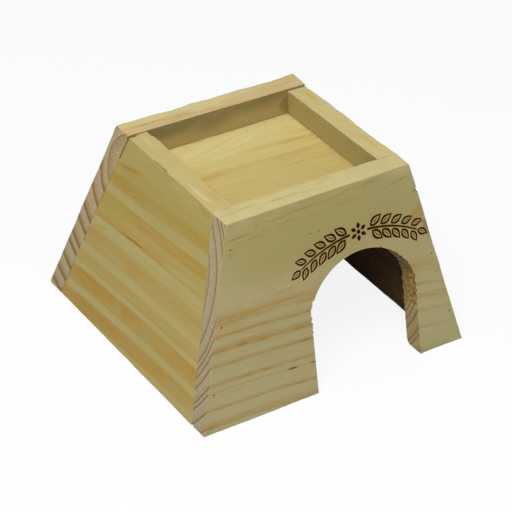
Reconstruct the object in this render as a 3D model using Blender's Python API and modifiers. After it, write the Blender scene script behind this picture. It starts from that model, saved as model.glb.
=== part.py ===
"""A wooden den for a small rodent: four leaning pine boards and a tray panel, held by brads.

The walls lean in like a cut-off pyramid. The front board has a doorway with straight sides and
a round top, and the tray panel lies below the rim, so that the top is a shallow tray. Lengths
are metres, +Z is up, the origin is the middle of the footprint and the doorway faces -Y, right
of the middle. Each wall has its own frame: X along the board, Y inwards, square to the board,
and Z up its slope, with the origin on the outer face at the ground.
"""

import math

import bmesh
import bpy
from mathutils import Matrix, Vector

# The whole
HEIGHT = 0.115
BASE_WIDTH = 0.1805
BASE_DEPTH = 0.1735
LEAN = math.radians(14.0)

# The boards, of half-inch pine
BOARD_THICKNESS = 0.0127
JOINT_GAP = 0.0003
EASED_EDGE = 0.0004
FRONT_FOOT_ROUND = 0.0030
BACK_FOOT_ROUND = 0.0020

# The tray
TRAY_RECESS = 0.0205
PANEL_THICKNESS = 0.0127

# The doorway: two straight sides that run into a round top, this angle above its middle line.
# The top is three inches across, so its radius is the half width over the angle's cosine.
DOOR_WIDTH = 0.0727
DOOR_SPRING_ANGLE = math.radians(17.4)
DOOR_HEIGHT_UP_SLOPE = 0.0773
DOOR_OFFSET = 0.0235

# The brads, 18 gauge with a T head
CORNER_BRAD_LENGTH = 0.025
TRAY_BRAD_LENGTH = 0.019
BRAD_HEAD_WIDTH = 0.0020
BRAD_HEAD_THICKNESS = 0.0006
BRAD_SHANK_WIDTH = 0.00125
BRAD_SHANK_THICKNESS = 0.00105
BRAD_POINT_LENGTH = 0.0018
BRAD_POINT_WIDTH = 0.0003
BRAD_CLEARANCE = 0.0003
BRAD_SET = 0.0008

# Where the brads are: up the slope as shares of its length, in from the board's end as shares
# of the board's thickness, above the middle of the tray panel as shares of its thickness, and
# along the board as shares of the wall's width at the ground.
CORNER_BRAD_NAMES = ("low", "middle", "high")
LEFT_BRAD_HEIGHT_SHARES = (0.19, 0.51, 0.87)
LEFT_BRAD_INSET_SHARES = (0.32, 0.34, 0.38)
RIGHT_BRAD_HEIGHT_SHARES = (0.17, 0.505, 0.857)
RIGHT_BRAD_INSET_SHARES = (0.21, 0.23, 0.16)
FRONT_TRAY_BRAD_SHARES = (-0.047, -0.016)
SIDE_TRAY_BRAD_SHARES = (-0.14, 0.12)
FRONT_TRAY_BRAD_RISE_SHARE = 0.22
SIDE_TRAY_BRAD_RISE_SHARE = -0.24

# Cutters and blanks reach this far past what they cut.
SAW_OVERRUN = 0.006
ROUND_SEGMENTS = 5
ARCH_FACETS = 56
WELD_DISTANCE = 0.000001

SLOPE_LENGTH = HEIGHT / math.cos(LEAN)
PANEL_TOP = HEIGHT - TRAY_RECESS
PANEL_BOTTOM = PANEL_TOP - PANEL_THICKNESS

DOWN = Vector((0.0, 0.0, -1.0))
UP = Vector((0.0, 0.0, 1.0))
OUTWARDS = Vector((0.0, -1.0, 0.0))

# Each wall's turn about the upright axis, its outer face's middle at the ground, and its width there
WALLS = {
    "front": (0.0, Vector((0.0, -BASE_DEPTH / 2, 0.0)), BASE_WIDTH),
    "right": (90.0, Vector((BASE_WIDTH / 2, 0.0, 0.0)), BASE_DEPTH),
    "back": (180.0, Vector((0.0, BASE_DEPTH / 2, 0.0)), BASE_WIDTH),
    "left": (270.0, Vector((-BASE_WIDTH / 2, 0.0, 0.0)), BASE_DEPTH),
}


def clear_scene():
    for old in list(bpy.data.objects):
        bpy.data.objects.remove(old, do_unlink=True)


def new_collection(name):
    collection = bpy.data.collections.new(name)
    bpy.context.scene.collection.children.link(collection)
    return collection


def linear(hex_colour):
    """The linear colour of an sRGB hex value such as c8ba85."""
    channels = (int(hex_colour[start : start + 2], 16) / 255 for start in (0, 2, 4))
    return tuple(c / 12.92 if c <= 0.04045 else ((c + 0.055) / 1.055) ** 2.4 for c in channels)


def new_material(name, hex_colour, roughness, metallic=0.0):
    material = bpy.data.materials.new(name)
    material.use_nodes = True
    shader = material.node_tree.nodes["Principled BSDF"]
    shader.inputs["Base Color"].default_value = (*linear(hex_colour), 1.0)
    shader.inputs["Roughness"].default_value = roughness
    shader.inputs["Metallic"].default_value = metallic
    return material


def wall_frame(wall):
    """The matrix that places a wall's own frame in the world."""
    turn, foot, _ = WALLS[wall]
    turned = Matrix.Rotation(math.radians(turn), 4, "Z")
    return Matrix.Translation(foot) @ turned @ Matrix.Rotation(-LEAN, 4, "X")


def wall_plane(wall, depth):
    """The plane that lies this deep in a wall, as a point and the normal that points outwards."""
    frame = wall_frame(wall)
    return frame @ Vector((0.0, depth, 0.0)), frame.to_3x3() @ OUTWARDS


def blank(size, middle):
    """A rough-sawn block as an editable mesh."""
    block = bmesh.new()
    bmesh.ops.create_cube(block, size=1.0, matrix=Matrix.Translation(middle) @ Matrix.Diagonal((*size, 1.0)))
    return block


def saw(block, frame, point, normal):
    """Saws a block along a plane of the world and drops the side that the normal points to."""
    to_block = frame.inverted()
    cut = bmesh.ops.bisect_plane(
        block,
        geom=block.verts[:] + block.edges[:] + block.faces[:],
        plane_co=to_block @ point,
        plane_no=to_block.to_3x3() @ normal,
        clear_outer=True,
    )
    rim = [element for element in cut["geom_cut"] if isinstance(element, bmesh.types.BMEdge)]
    bmesh.ops.contextual_create(block, geom=rim)


def round_edges(block, radius, is_wanted):
    """Rounds the edges whose two ends both pass the test."""
    edges = [edge for edge in block.edges if all(is_wanted(vertex.co) for vertex in edge.verts)]
    bmesh.ops.bevel(block, geom=edges, offset=radius, segments=ROUND_SEGMENTS, profile=0.5, affect="EDGES")


def finish_piece(name, block, material, parent, collection):
    """Turns the block into a named object, with its sharp edges eased by a light sanding."""
    bmesh.ops.recalc_face_normals(block, faces=block.faces)
    mesh = bpy.data.meshes.new(name)
    block.to_mesh(mesh)
    block.free()
    mesh.materials.append(material)
    piece = bpy.data.objects.new(name, mesh)
    piece.parent = parent
    collection.objects.link(piece)
    eased = piece.modifiers.new("eased edges", "BEVEL")
    eased.width = EASED_EDGE
    eased.segments = 2
    eased.limit_method = "ANGLE"
    eased.angle_limit = math.radians(30.0)
    return piece


def make_board(wall, ends, colour, parts, parents, foot_round=0.0, foot_depth=0.0):
    """A wall's board, level at top and foot, with its ends sawn along the two planes given."""
    frame = wall_frame(wall)
    width = WALLS[wall][2]
    reach = BOARD_THICKNESS * math.tan(LEAN) + SAW_OVERRUN
    size = (width + 2 * SAW_OVERRUN, BOARD_THICKNESS, SLOPE_LENGTH + 2 * reach)
    board = blank(size, Vector((0.0, BOARD_THICKNESS / 2, SLOPE_LENGTH / 2)))
    saw(board, frame, UP * HEIGHT, UP)
    saw(board, frame, UP * 0.0, DOWN)
    for point, normal in ends:
        saw(board, frame, point, normal)
    if foot_round:
        nearly = BOARD_THICKNESS / 4
        round_edges(
            board,
            foot_round,
            lambda place: (frame @ place).z < nearly and abs(place.y - foot_depth) < nearly,
        )
    material = new_material(f"{wall}_pine", colour, 0.6)
    return finish_piece(f"{wall}_board", board, material, parents[wall], parts)


def make_tray_panel(parts):
    """The panel, its four edges sawn to the lean of the walls that it fits between."""
    size = (BASE_WIDTH, BASE_DEPTH, PANEL_THICKNESS)
    panel = blank(size, UP * (PANEL_TOP - PANEL_THICKNESS / 2))
    for wall in WALLS:
        point, normal = wall_plane(wall, BOARD_THICKNESS + JOINT_GAP)
        saw(panel, Matrix.Identity(4), point, normal)
    return finish_piece("tray_panel", panel, new_material("tray_pine", "c9b674", 0.55), None, parts)


def add_cut(piece, cutter):
    cut = piece.modifiers.new(cutter.name, "BOOLEAN")
    cut.operation = "DIFFERENCE"
    cut.solver = "EXACT"
    cut.object = cutter


def place_cutter(cutter, parent, location, cutters):
    cutter.parent = parent
    cutter.location = location
    cutter.hide_render = True
    cutter.display_type = "WIRE"
    cutters.objects.link(cutter)
    return cutter


def extruded(name, outline, thickness):
    """A closed mesh from a flat outline."""
    drawing = bpy.data.curves.new(name, "CURVE")
    drawing.dimensions = "2D"
    drawing.fill_mode = "BOTH"
    drawing.extrude = thickness / 2
    spline = drawing.splines.new("POLY")
    spline.points.add(len(outline) - 1)
    for point, (across, along) in zip(spline.points, outline):
        point.co = (across, along, 0.0, 1.0)
    spline.use_cyclic_u = True
    guide = bpy.data.objects.new(name, drawing)
    bpy.context.scene.collection.objects.link(guide)
    bpy.context.view_layer.update()
    mesh = bpy.data.meshes.new_from_object(guide.evaluated_get(bpy.context.evaluated_depsgraph_get()))
    bpy.data.objects.remove(guide, do_unlink=True)

    solid = bmesh.new()
    solid.from_mesh(mesh)
    bmesh.ops.remove_doubles(solid, verts=solid.verts, dist=WELD_DISTANCE)
    bmesh.ops.recalc_face_normals(solid, faces=solid.faces)
    solid.to_mesh(mesh)
    solid.free()
    return mesh


def doorway_outline():
    """The doorway with X along the board from its middle and Y up the slope, open past the foot."""
    half_width = DOOR_WIDTH / 2
    radius = half_width / math.cos(DOOR_SPRING_ANGLE)
    centre = DOOR_HEIGHT_UP_SLOPE - radius
    points = [(half_width, -SAW_OVERRUN)]
    for step in range(ARCH_FACETS + 1):
        angle = DOOR_SPRING_ANGLE + (math.pi - 2 * DOOR_SPRING_ANGLE) * step / ARCH_FACETS
        points.append((radius * math.cos(angle), centre + radius * math.sin(angle)))
    points.append((-half_width, -SAW_OVERRUN))
    return points


def cut_doorway(board, parent, cutters):
    depth = BOARD_THICKNESS + 2 * SAW_OVERRUN
    mesh = extruded("doorway", doorway_outline(), depth)
    cutter = bpy.data.objects.new("doorway", mesh)
    place_cutter(cutter, parent, Vector((DOOR_OFFSET, BOARD_THICKNESS / 2, 0.0)), cutters)
    cutter.rotation_euler = (math.radians(90.0), 0.0, 0.0)
    add_cut(board, cutter)


def brad_outline(length, grown_by=0.0, proud=0.0):
    """The brad's flat outline with X across it and Y from the head to the point."""
    half_head = BRAD_HEAD_WIDTH / 2 + grown_by
    half_shank = BRAD_SHANK_WIDTH / 2 + grown_by
    half_point = BRAD_POINT_WIDTH / 2 + grown_by
    neck = BRAD_HEAD_THICKNESS + grown_by
    side = (
        (half_head, -proud),
        (half_head, neck),
        (half_shank, neck + half_head - half_shank),
        (half_shank, length - BRAD_POINT_LENGTH),
        (half_point, length + grown_by),
    )
    return [*side, *((-across, along) for across, along in reversed(side))]


def make_brad_meshes(length, steel):
    """A brad of this length, and the slot that it lies in, which opens at the board's face."""
    brad = extruded("brad", brad_outline(length), BRAD_SHANK_THICKNESS)
    brad.materials.append(steel)
    slot = extruded(
        "brad_slot",
        brad_outline(length, BRAD_CLEARANCE, BRAD_SET + SAW_OVERRUN),
        BRAD_SHANK_THICKNESS + 2 * BRAD_CLEARANCE,
    )
    return brad, slot


def drive_brad(name, meshes, parent, along, up_slope, pieces, parts, cutters):
    """Drives a brad square to its wall, with its T head upright, and cuts its slot in the pieces."""
    brad_mesh, slot_mesh = meshes
    place = Vector((along, BRAD_SET, up_slope))
    upright = (0.0, math.radians(-90.0), 0.0)
    brad = bpy.data.objects.new(name, brad_mesh)
    brad.parent = parent
    brad.location = place
    brad.rotation_euler = upright
    parts.objects.link(brad)
    slot = place_cutter(bpy.data.objects.new(f"{name}_slot", slot_mesh), parent, place, cutters)
    slot.rotation_euler = upright
    for piece in pieces:
        add_cut(piece, slot)


def drive_corner_brads(boards, meshes, parents, parts, cutters):
    """Three brads near each end of the front and back boards, into the ends of the side boards."""
    sides = {
        "left": (-1.0, LEFT_BRAD_HEIGHT_SHARES, LEFT_BRAD_INSET_SHARES),
        "right": (1.0, RIGHT_BRAD_HEIGHT_SHARES, RIGHT_BRAD_INSET_SHARES),
    }
    for wall, facing in (("front", 1.0), ("back", -1.0)):
        for side, (direction, heights, insets) in sides.items():
            for name, height_share, inset_share in zip(CORNER_BRAD_NAMES, heights, insets):
                up_slope = height_share * SLOPE_LENGTH
                edge = BASE_WIDTH / 2 - up_slope * math.sin(LEAN)
                along = facing * direction * (edge - inset_share * BOARD_THICKNESS)
                pieces = (boards[wall], boards[side])
                full_name = f"{wall}_{side}_brad_{name}"
                drive_brad(full_name, meshes, parents[wall], along, up_slope, pieces, parts, cutters)


def drive_tray_brads(boards, panel, meshes, parents, parts, cutters):
    """Two brads through each wall into the edge of the tray panel."""
    for wall, (_, _, width) in WALLS.items():
        is_front = wall == "front"
        shares = FRONT_TRAY_BRAD_SHARES if is_front else SIDE_TRAY_BRAD_SHARES
        rise_share = FRONT_TRAY_BRAD_RISE_SHARE if is_front else SIDE_TRAY_BRAD_RISE_SHARE
        entry_height = PANEL_TOP - PANEL_THICKNESS / 2 + rise_share * PANEL_THICKNESS
        up_slope = entry_height / math.cos(LEAN) + BOARD_THICKNESS * math.tan(LEAN)
        for number, share in enumerate(shares, start=1):
            name = f"{wall}_tray_brad_{number}"
            pieces = (boards[wall], panel)
            drive_brad(name, meshes, parents[wall], share * width, up_slope, pieces, parts, cutters)


def main():
    clear_scene()
    parts = new_collection("rodent_house")
    cutters = new_collection("cutters")
    parents = {}
    for wall in WALLS:
        parents[wall] = bpy.data.objects.new(f"{wall}_wall", None)
        parents[wall].matrix_world = wall_frame(wall)
        parts.objects.link(parents[wall])

    flush = [wall_plane(side, 0.0) for side in ("left", "right")]
    butted = [wall_plane(wall, BOARD_THICKNESS + JOINT_GAP) for wall in ("front", "back")]
    boards = {
        "front": make_board("front", flush, "a2966a", parts, parents, FRONT_FOOT_ROUND, BOARD_THICKNESS),
        "back": make_board("back", flush, "a58f54", parts, parents, BACK_FOOT_ROUND, 0.0),
        "left": make_board("left", butted, "a69559", parts, parents),
        "right": make_board("right", butted, "a69559", parts, parents),
    }
    panel = make_tray_panel(parts)
    cut_doorway(boards["front"], parents["front"], cutters)

    steel = new_material("coated_steel", "3a3227", 0.45, 0.9)
    corner_brad = make_brad_meshes(CORNER_BRAD_LENGTH, steel)
    tray_brad = make_brad_meshes(TRAY_BRAD_LENGTH, steel)
    drive_corner_brads(boards, corner_brad, parents, parts, cutters)
    drive_tray_brads(boards, panel, tray_brad, parents, parts, cutters)


main()
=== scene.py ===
"""The look of a wooden den for a small rodent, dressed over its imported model.

Four leaning boards of planed pine and a tray panel are nailed together with brads. Each board is
made as by hand: sawn from a block, its arrises rubbed down, the doorway cut, the brads' pockets
punched and a pair of leafy sprigs burnt over the arch. Lengths are metres, and MM turns the
millimetres of a place on a board into them. A wall's own frame has X along the board, Y inwards
from its outer face and Z up its slope, from the middle of its foot. The tray panel's frame is
like that, with Y down and Z to the back, from the middle of its top.
"""

import math

import bmesh
import bpy
from mathutils import Euler, Matrix, Vector


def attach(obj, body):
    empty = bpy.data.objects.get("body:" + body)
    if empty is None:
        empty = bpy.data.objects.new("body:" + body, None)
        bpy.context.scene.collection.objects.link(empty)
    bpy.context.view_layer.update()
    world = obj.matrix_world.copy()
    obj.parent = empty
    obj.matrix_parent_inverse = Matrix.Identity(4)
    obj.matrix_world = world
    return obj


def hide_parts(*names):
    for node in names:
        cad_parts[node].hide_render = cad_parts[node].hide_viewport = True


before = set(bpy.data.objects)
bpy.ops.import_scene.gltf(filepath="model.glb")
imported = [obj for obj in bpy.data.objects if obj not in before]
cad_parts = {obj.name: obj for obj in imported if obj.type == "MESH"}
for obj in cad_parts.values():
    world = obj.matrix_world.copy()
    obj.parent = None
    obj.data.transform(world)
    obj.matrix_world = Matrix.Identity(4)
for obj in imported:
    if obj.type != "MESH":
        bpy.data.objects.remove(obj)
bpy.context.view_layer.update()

MM = 0.001

# The house, with its walls' length up the slope and the gap that is left between butted boards
HEIGHT = 115.0 * MM
BASE_WIDTH = 180.5 * MM
BASE_DEPTH = 173.5 * MM
BOARD = 12.7 * MM
LEAN = math.radians(14.0)
SLOPE = HEIGHT / math.cos(LEAN)
TRAY_FLOOR = 94.5 * MM
JOINT = 0.05 * MM

# How far a block or a tool reaches past the cut that it is for
OVERRUN = 6.0 * MM

# The doorway, up the front board's slope and right of its middle
DOOR_RADIUS = 38.1 * MM
DOOR_SPRING = math.radians(17.4)
DOOR_CROWN = 77.3 * MM
DOOR_OFFSET = 23.5 * MM

# The stretches of its sides that the saw tore, by height from the middle of its round top, and
# where the tearing begins on the front board, in millimetres up it
TORN_LEFT = (-3.0 * MM, 19.0 * MM)
TORN_RIGHT = (-9.0 * MM, 30.0 * MM)
TORN_ABOVE = 29.0

# The grid that the saw marks and worn arrises are shaped on
GRID_CELL = 2.0 * MM
SAW_MARK = 1.0 * MM
FOOT_ROW = 4.0 * MM

# Wear: how round the arrises and two of the feet are, and how far down the sanding of a top shows
ARRIS_WEAR = 0.25 * MM
FRONT_FOOT_ROUND = 3.0 * MM
BACK_FOOT_ROUND = 2.0 * MM
SANDED_BAND = 2.6 * MM

# The waves of uneven surfaces: how wide they are, and how far they swing in and out in all
SANDED_WAVES = (16.0 * MM, 1.5 * MM)
WORN_WAVES = (14.0 * MM, 0.5 * MM)
RUBBED_WAVES = (2.5 * MM, 0.35 * MM)
TRAY_WAVES = (8.0 * MM, 0.3 * MM)
SAWN_WAVES = (3.0 * MM, 0.35 * MM)
TORN_LEFT_WAVES = (2.2 * MM, 4.4 * MM)
TORN_RIGHT_WAVES = (2.0 * MM, 2.3 * MM)
CHIP_WAVES = (1.6 * MM, 1.2 * MM)

# The pocket over a set brad, whose tool stands half out of the face. Its floor lies half of the
# slack deeper than the outside of the brad's head.
POCKET_WIDTH = 1.1 * MM
POCKET_HEIGHT = 1.4 * MM
POCKET_SLACK = 0.3 * MM
POCKET_ROUND = 0.35 * MM

UP = Vector((0.0, 0.0, 1.0))
ALONG = Vector((1.0, 0.0, 0.0))
INWARDS = Vector((0.0, 1.0, 0.0))

# Each wall's turn about the upright axis, the middle of its foot, and its width there
WALLS = {
    "front": (0.0, Vector((0.0, -BASE_DEPTH / 2, 0.0)), BASE_WIDTH),
    "right": (math.radians(90.0), Vector((BASE_WIDTH / 2, 0.0, 0.0)), BASE_DEPTH),
    "back": (math.radians(180.0), Vector((0.0, BASE_DEPTH / 2, 0.0)), BASE_WIDTH),
    "left": (math.radians(270.0), Vector((-BASE_WIDTH / 2, 0.0, 0.0)), BASE_DEPTH),
}


# Places in the house


def board_place(name):
    """The corner and the turn of a board's own frame."""
    if name == "tray":
        return Vector((0.0, 0.0, TRAY_FLOOR)), Euler((math.radians(-90.0), 0.0, 0.0))
    turn, foot, _ = WALLS[name]
    return foot, Euler((-LEAN, 0.0, turn))


def board_frame(name):
    """The matrix that takes a place in a board's own frame to its place in the house."""
    foot, turn = board_place(name)
    return Matrix.Translation(foot) @ turn.to_matrix().to_4x4()


def wall_plane(wall, depth):
    """The plane this deep in a wall, as a point and the normal that points outwards."""
    place = board_frame(wall)
    return place @ (INWARDS * depth), place.to_3x3() @ -INWARDS


def plane_through(first, second, third):
    """The plane through three places in millimetres, as a point and the normal that points up."""
    a, b, c = (Vector(place) * MM for place in (first, second, third))
    normal = (b - a).cross(c - a).normalized()
    return a, normal if normal.z > 0.0 else -normal


# Bench work, in edit mode


def work_on(piece):
    """Selects a piece and nothing else."""
    bpy.ops.object.select_all(action="DESELECT")
    piece.select_set(True)
    bpy.context.view_layer.objects.active = piece


def open_piece(piece):
    work_on(piece)
    bpy.ops.object.mode_set(mode="EDIT")
    bpy.ops.mesh.select_mode(type="EDGE")


def close_piece():
    bpy.ops.object.mode_set(mode="OBJECT")


def saw_block(name, size, wood, middle=(0.0, 0.0, 0.0), turn=(0.0, 0.0, 0.0)):
    """A plain block of this wood, with its place in its mesh."""
    bpy.ops.mesh.primitive_cube_add(size=1.0, location=middle, rotation=turn, scale=size)
    block = bpy.context.object
    block.name = name
    bpy.ops.object.transform_apply()
    block.data.materials.append(wood)
    return block


def put_down(piece, place):
    """Moves a piece to a place in the house, and keeps that place in its mesh."""
    piece.matrix_world = place
    work_on(piece)
    bpy.ops.object.transform_apply()


def pick(piece, kind, wanted):
    """Selects the verts, edges or faces of the open piece that pass the test, and nothing else."""
    modes = {"verts": "VERT", "edges": "EDGE", "faces": "FACE"}
    bpy.ops.mesh.select_mode(type=modes[kind])
    bpy.ops.mesh.select_all(action="DESELECT")
    shape = bmesh.from_edit_mesh(piece.data)
    for element in getattr(shape, kind):
        if wanted(element):
            element.select_set(True)
    bmesh.update_edit_mesh(piece.data)


def saw_off(point, normal):
    """Saws the open piece along a plane, drops what the normal points at and closes the cut."""
    bpy.ops.mesh.select_all(action="SELECT")
    bpy.ops.mesh.bisect(plane_co=point, plane_no=normal, use_fill=True, clear_outer=True)


def slice_evenly(piece, direction, cell, shortest=0.0):
    """Cuts the edges that run this way into cells, which draws a grid over the faces."""
    nearly_along = 0.9

    def runs_along(edge):
        run = edge.verts[1].co - edge.verts[0].co
        return run.length > shortest and abs(run.normalized().dot(direction)) > nearly_along

    pick(piece, "edges", runs_along)
    shape = bmesh.from_edit_mesh(piece.data)
    longest = max(edge.calc_length() for edge in shape.edges if edge.select)
    bpy.ops.mesh.subdivide(number_cuts=max(1, round(longest / cell) - 1))


def keep_picked_as(piece, group):
    """Stores the picked vertices of the open piece as a vertex group."""
    piece.vertex_groups.new(name=group)
    piece.vertex_groups.active_index = len(piece.vertex_groups) - 1
    bpy.ops.object.vertex_group_assign()


def waver(piece, group, width, swing):
    """Moves the surface in and out by a cloudy pattern, as an unsteady hand or a coarse saw does."""
    clouds = bpy.data.textures.new(f"{piece.name} {group}", "CLOUDS")
    clouds.noise_scale = width
    clouds.noise_depth = 2
    unsteady = piece.modifiers.new("unsteady", "DISPLACE")
    unsteady.texture = clouds
    unsteady.mid_level = 0.5
    unsteady.strength = swing
    unsteady.vertex_group = group
    work_on(piece)
    bpy.ops.object.modifier_apply(modifier=unsteady.name)


def cut_away(piece, tools):
    """Cuts tools out of a piece, and clears them away. Each cut face takes its tool's material."""
    bench = bpy.data.collections.new("bench")
    for tool in tools:
        bench.objects.link(tool)
    cut = piece.modifiers.new("cut", "BOOLEAN")
    cut.operation = "DIFFERENCE"
    cut.operand_type = "COLLECTION"
    cut.collection = bench
    cut.solver = "EXACT"
    cut.material_mode = "TRANSFER"
    work_on(piece)
    bpy.ops.object.modifier_apply(modifier=cut.name)
    for tool in tools:
        bpy.data.objects.remove(tool, do_unlink=True)
    bpy.data.collections.remove(bench)


def paint_den_shade(board, wall, wood):
    """Gives the planed faces that look into the den, below the tray, a darker wood whose colour is
    painted shade.
    """
    board.data.materials.append(wood)
    inwards = board_frame(wall).to_3x3() @ INWARDS
    ceiling = TRAY_FLOOR - BOARD
    nearly_inwards = 0.8
    open_piece(board)
    pick(board, "faces", lambda face: (
        face.material_index == 0
        and face.normal.dot(inwards) > nearly_inwards
        and face.calc_center_median().z < ceiling
    ))
    board.active_material_index = len(board.data.materials) - 1
    bpy.ops.object.material_slot_assign()
    close_piece()


def smooth(piece):
    """Shades the worn arrises round, and leaves the large faces flat."""
    work_on(piece)
    bpy.ops.object.shade_smooth_by_angle(angle=math.radians(32.0))
    flat = piece.modifiers.new("flat faces", "WEIGHTED_NORMAL")
    flat.keep_sharp = True
    bpy.ops.object.modifier_apply(modifier=flat.name)


# The boards


def rub_arrises(board):
    """Rounds the sawn arrises of the open board a little and keeps them as the group arris."""
    bpy.ops.mesh.select_all(action="DESELECT")
    bpy.ops.mesh.select_mode(type="EDGE")
    bpy.ops.mesh.edges_select_sharp(sharpness=math.radians(30.0))
    bpy.ops.mesh.bevel(offset=ARRIS_WEAR, segments=2, affect="EDGES")
    bpy.ops.mesh.select_mode(type="VERT")
    keep_picked_as(board, "arris")


def round_foot(board, place, radius, depth):
    """Rounds the long edge of the open board's foot that lies this deep in the wall."""
    to_wall = place.inverted()
    near_ground = 0.3 * MM
    near_face = 1.2 * MM

    def on_foot_edge(edge):
        return all(
            vertex.co.z < near_ground and abs((to_wall @ vertex.co).y - depth) < near_face
            for vertex in edge.verts
        )

    pick(board, "edges", on_foot_edge)
    bpy.ops.mesh.bevel(offset=radius, segments=5, affect="EDGES")


def saw_board(wall, top, ends, wood, foot_round=0.0, foot_depth=0.0):
    """A wall's board: a block sawn at top, foot and ends, gridded, and rubbed down."""
    place = board_frame(wall)
    _, turn = board_place(wall)
    size = (WALLS[wall][2] + 2 * OVERRUN, BOARD, SLOPE + 2 * OVERRUN)
    middle = place @ Vector((0.0, BOARD / 2, SLOPE / 2))
    board = saw_block(f"{wall}_plank", size, wood, middle, turn)

    open_piece(board)
    for point, normal in ((Vector((0.0, 0.0, 0.0)), -UP), top, *ends):
        saw_off(point, normal)
    bpy.ops.mesh.select_all(action="SELECT")
    bpy.ops.mesh.bisect(plane_co=UP * FOOT_ROW, plane_no=UP)
    turned = place.to_3x3()
    slice_evenly(board, turned @ ALONG, GRID_CELL)
    slice_evenly(board, turned @ UP, GRID_CELL, shortest=2 * FOOT_ROW)
    slice_evenly(board, turned @ INWARDS, FOOT_ROW)
    if foot_round:
        round_foot(board, place, foot_round, foot_depth)
    rub_arrises(board)
    pick(board, "verts", lambda vertex: vertex.co.z > HEIGHT - SANDED_BAND)
    keep_picked_as(board, "sanded top")
    close_piece()
    waver(board, "sanded top", *SANDED_WAVES)
    waver(board, "arris", *WORN_WAVES)
    waver(board, "arris", *RUBBED_WAVES)
    return board


def saw_tray_panel(wood):
    """The tray's panel, its edges sawn to the lean of the walls, with its grain along X."""
    size = (BASE_WIDTH, BASE_DEPTH, BOARD)
    panel = saw_block("tray_plank", size, wood, middle=UP * (TRAY_FLOOR - BOARD / 2))
    open_piece(panel)
    for wall in WALLS:
        saw_off(*wall_plane(wall, BOARD + JOINT))
    slice_evenly(panel, ALONG, GRID_CELL)
    slice_evenly(panel, INWARDS, GRID_CELL)
    rub_arrises(panel)
    close_piece()
    waver(panel, "arris", *TRAY_WAVES)
    return panel


def make_doorway_tool(wood):
    """The doorway's waste: a saw's round top that runs into straight sides, torn where it cut
    against the grain."""
    bpy.ops.mesh.primitive_circle_add(
        vertices=240, radius=DOOR_RADIUS, fill_type="NOTHING", rotation=(math.radians(90.0), 0.0, 0.0)
    )
    tool = bpy.context.object
    tool.name = "doorway_tool"
    bpy.ops.object.transform_apply()
    tool.data.materials.append(wood)
    centre = DOOR_CROWN - DOOR_RADIUS
    spring = DOOR_RADIUS * math.sin(DOOR_SPRING)
    below_foot = -centre - OVERRUN
    hair = 0.01 * MM
    long_side = 20.0 * MM
    layers = 20
    layer = INWARDS * ((BOARD + 2 * OVERRUN) / layers)

    def torn(side, stretch):
        lowest, highest = stretch
        return lambda vertex: side * vertex.co.x > 0.0 and lowest < vertex.co.z < highest

    open_piece(tool)
    bpy.ops.mesh.select_all(action="SELECT")
    bpy.ops.mesh.bisect(plane_co=UP * spring, plane_no=UP, clear_inner=True)
    pick(tool, "verts", lambda vertex: vertex.co.z < spring + hair)
    bpy.ops.mesh.extrude_region_move(TRANSFORM_OT_translate={"value": UP * (below_foot - spring)})
    slice_evenly(tool, UP, SAW_MARK, shortest=long_side)
    pick(tool, "verts", lambda vertex: vertex.co.z < below_foot + hair)
    bpy.ops.mesh.edge_face_add()
    bpy.ops.mesh.select_all(action="SELECT")
    bpy.ops.mesh.edge_face_add()
    pick(tool, "faces", lambda face: True)
    for _ in range(layers):
        bpy.ops.mesh.extrude_region_move(TRANSFORM_OT_translate={"value": layer})
    bpy.ops.mesh.select_all(action="SELECT")
    bpy.ops.mesh.normals_make_consistent(inside=False)
    finishes = (
        ("sawn", lambda vertex: True, SAWN_WAVES),
        ("torn left", torn(-1.0, TORN_LEFT), TORN_LEFT_WAVES),
        ("torn right", torn(1.0, TORN_RIGHT), TORN_RIGHT_WAVES),
    )
    for group, wanted, _ in finishes:
        pick(tool, "verts", wanted)
        keep_picked_as(tool, group)
    close_piece()
    for group, _, waves in finishes:
        waver(tool, group, *waves)
    put_down(tool, board_frame("front") @ Matrix.Translation((DOOR_OFFSET, -OVERRUN, centre)))
    return tool


def make_pocket_tool(brad, wall, wood):
    """The hole over a brad's head. The fibres have closed over the ends of its T."""
    place = board_frame(wall)
    spots = [place.inverted() @ vertex.co for vertex in brad.data.vertices]
    along = sum(spot.x for spot in spots) / len(spots)
    up = sum(spot.z for spot in spots) / len(spots)
    head = min(spot.y for spot in spots)
    tool = saw_block("pocket_tool", (POCKET_WIDTH, 2 * head + POCKET_SLACK, POCKET_HEIGHT), wood)
    open_piece(tool)
    pick(tool, "edges", lambda edge: abs((edge.verts[0].co - edge.verts[1].co).y) > head)
    bpy.ops.mesh.bevel(offset=POCKET_ROUND, segments=3, affect="EDGES")
    close_piece()
    put_down(tool, place @ Matrix.Translation((along, 0.0, up)))
    return tool


# Where slivers are missing, in millimetres in a board's frame: middle, size and turn in degrees
NICKS = {
    "left": (
        ((-9.5, 0.0, 119.3), (13.5, 1.2, 1.6), 3.0), ((-42.0, 12.7, 122.9), (8.0, 1.8, 2.6), -5.0),
        ((-45.6, 2.0, 112.0), (0.9, 30.0, 17.0), 14.0),
    ),
    "front": (((65.6, 0.0, 102.0), (2.6, 2.6, 2.0), 30.0),),
}


def make_chip_tool(place, middle, size, turn, wood):
    """A ragged sliver, in millimetres in a board's frame, for a piece that was torn out."""
    chip = saw_block("chip", Vector(size) * MM, wood)
    open_piece(chip)
    bpy.ops.mesh.select_all(action="SELECT")
    bpy.ops.mesh.subdivide(number_cuts=9)
    keep_picked_as(chip, "ragged")
    close_piece()
    waver(chip, "ragged", *CHIP_WAVES)
    tilt = Matrix.Rotation(math.radians(turn), 4, "Y")
    put_down(chip, place @ Matrix.Translation(Vector(middle) * MM) @ tilt)
    return chip


# The burnt sprigs over the arch, drawn on the front board's face

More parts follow.
